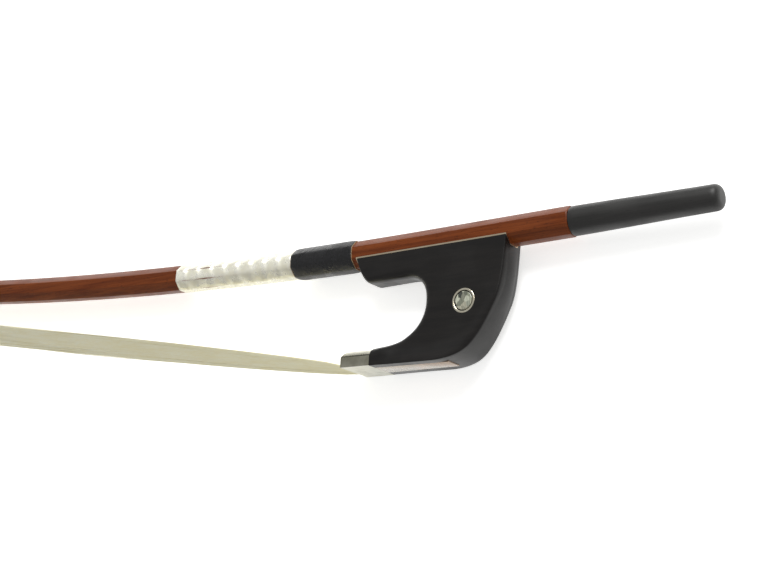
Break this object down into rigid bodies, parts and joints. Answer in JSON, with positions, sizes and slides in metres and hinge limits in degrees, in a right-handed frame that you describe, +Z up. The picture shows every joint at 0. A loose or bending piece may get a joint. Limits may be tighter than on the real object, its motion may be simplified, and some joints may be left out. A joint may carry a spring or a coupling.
{
  "type": "double bass bow",
  "caption": "German-pattern double bass bow: octagonal cambered stick, hatchet head, deep frog with open throat, long screw button, slack hair.",
  "frame": {"origin": "centre of the bounding box in X and Y, at the plane that the bow lies on", "axes": "+X along the handle towards the button, +Y from the hair to the stick, +Z up across the width of the bow, which lies on its side"},
  "size_m": [0.773, 0.1418, 0.0208],
  "materials": {
    "stick_wood": "oil-varnished reddish brown pernambuco, satin",
    "ebony": "polished black ebony with faint brown grain",
    "button_ebony": "satin black turned ebony",
    "liner_ebony": "thin black veneer",
    "bone": "polished cream bone",
    "pearl": "nacre with a soft pinkish and greenish play",
    "nickel_silver": "polished nickel silver",
    "silver_wire": "close-wound bright silver wire",
    "brass": "plain turned brass",
    "screw_steel": "bright steel",
    "leather": "black grained leather",
    "horsehair": "pale cream horsehair with a soft sheen",
    "thread": "waxed red thread",
    "plug_maple": "plain pale maple"
  },
  "bodies": {
    "stick": {"stick": "stick_wood", "tip_liner": "liner_ebony", "tip_plate": "bone", "tip_plug": "plug_maple", "tip_hair_knot": "horsehair", "tip_knot_thread": "thread", "silver_winding": "silver_wire", "leather_grip": "leather", "hair_ribbon": "horsehair"},
    "frog": {"frog_block": "ebony", "frog_liner": "nickel_silver", "liner_pins": "brass", "eyelet": "brass", "eye_ring_upper": "nickel_silver", "eye_pearl_upper": "pearl", "eye_ring_lower": "nickel_silver", "eye_pearl_lower": "pearl", "ferrule": "nickel_silver", "slide_back": "ebony", "slide_pearl": "pearl", "spread_wedge": "plug_maple", "frog_plug": "plug_maple", "frog_hair_knot": "horsehair", "frog_knot_thread": "thread"},
    "screw": {"screw_shaft": "screw_steel", "button": "button_ebony"}
  },
  "joints": [
    {"name": "button_turn", "type": "hinge", "parent": "stick", "child": "screw", "pos_m": [0.3207, -0.01679, 0.0104], "axis": [-1, 0, 0], "range_deg": [0, 3601]},
    {"name": "frog_slide", "type": "slide", "parent": "stick", "child": "frog", "axis": [1, 0, 0], "range_m": [0, 0.008], "deforming": ["hair_ribbon"]}
  ],
  "couplings": [
    {"joint": "button_turn", "follows": "frog_slide", "rad_per_m": 7854}
  ]
}
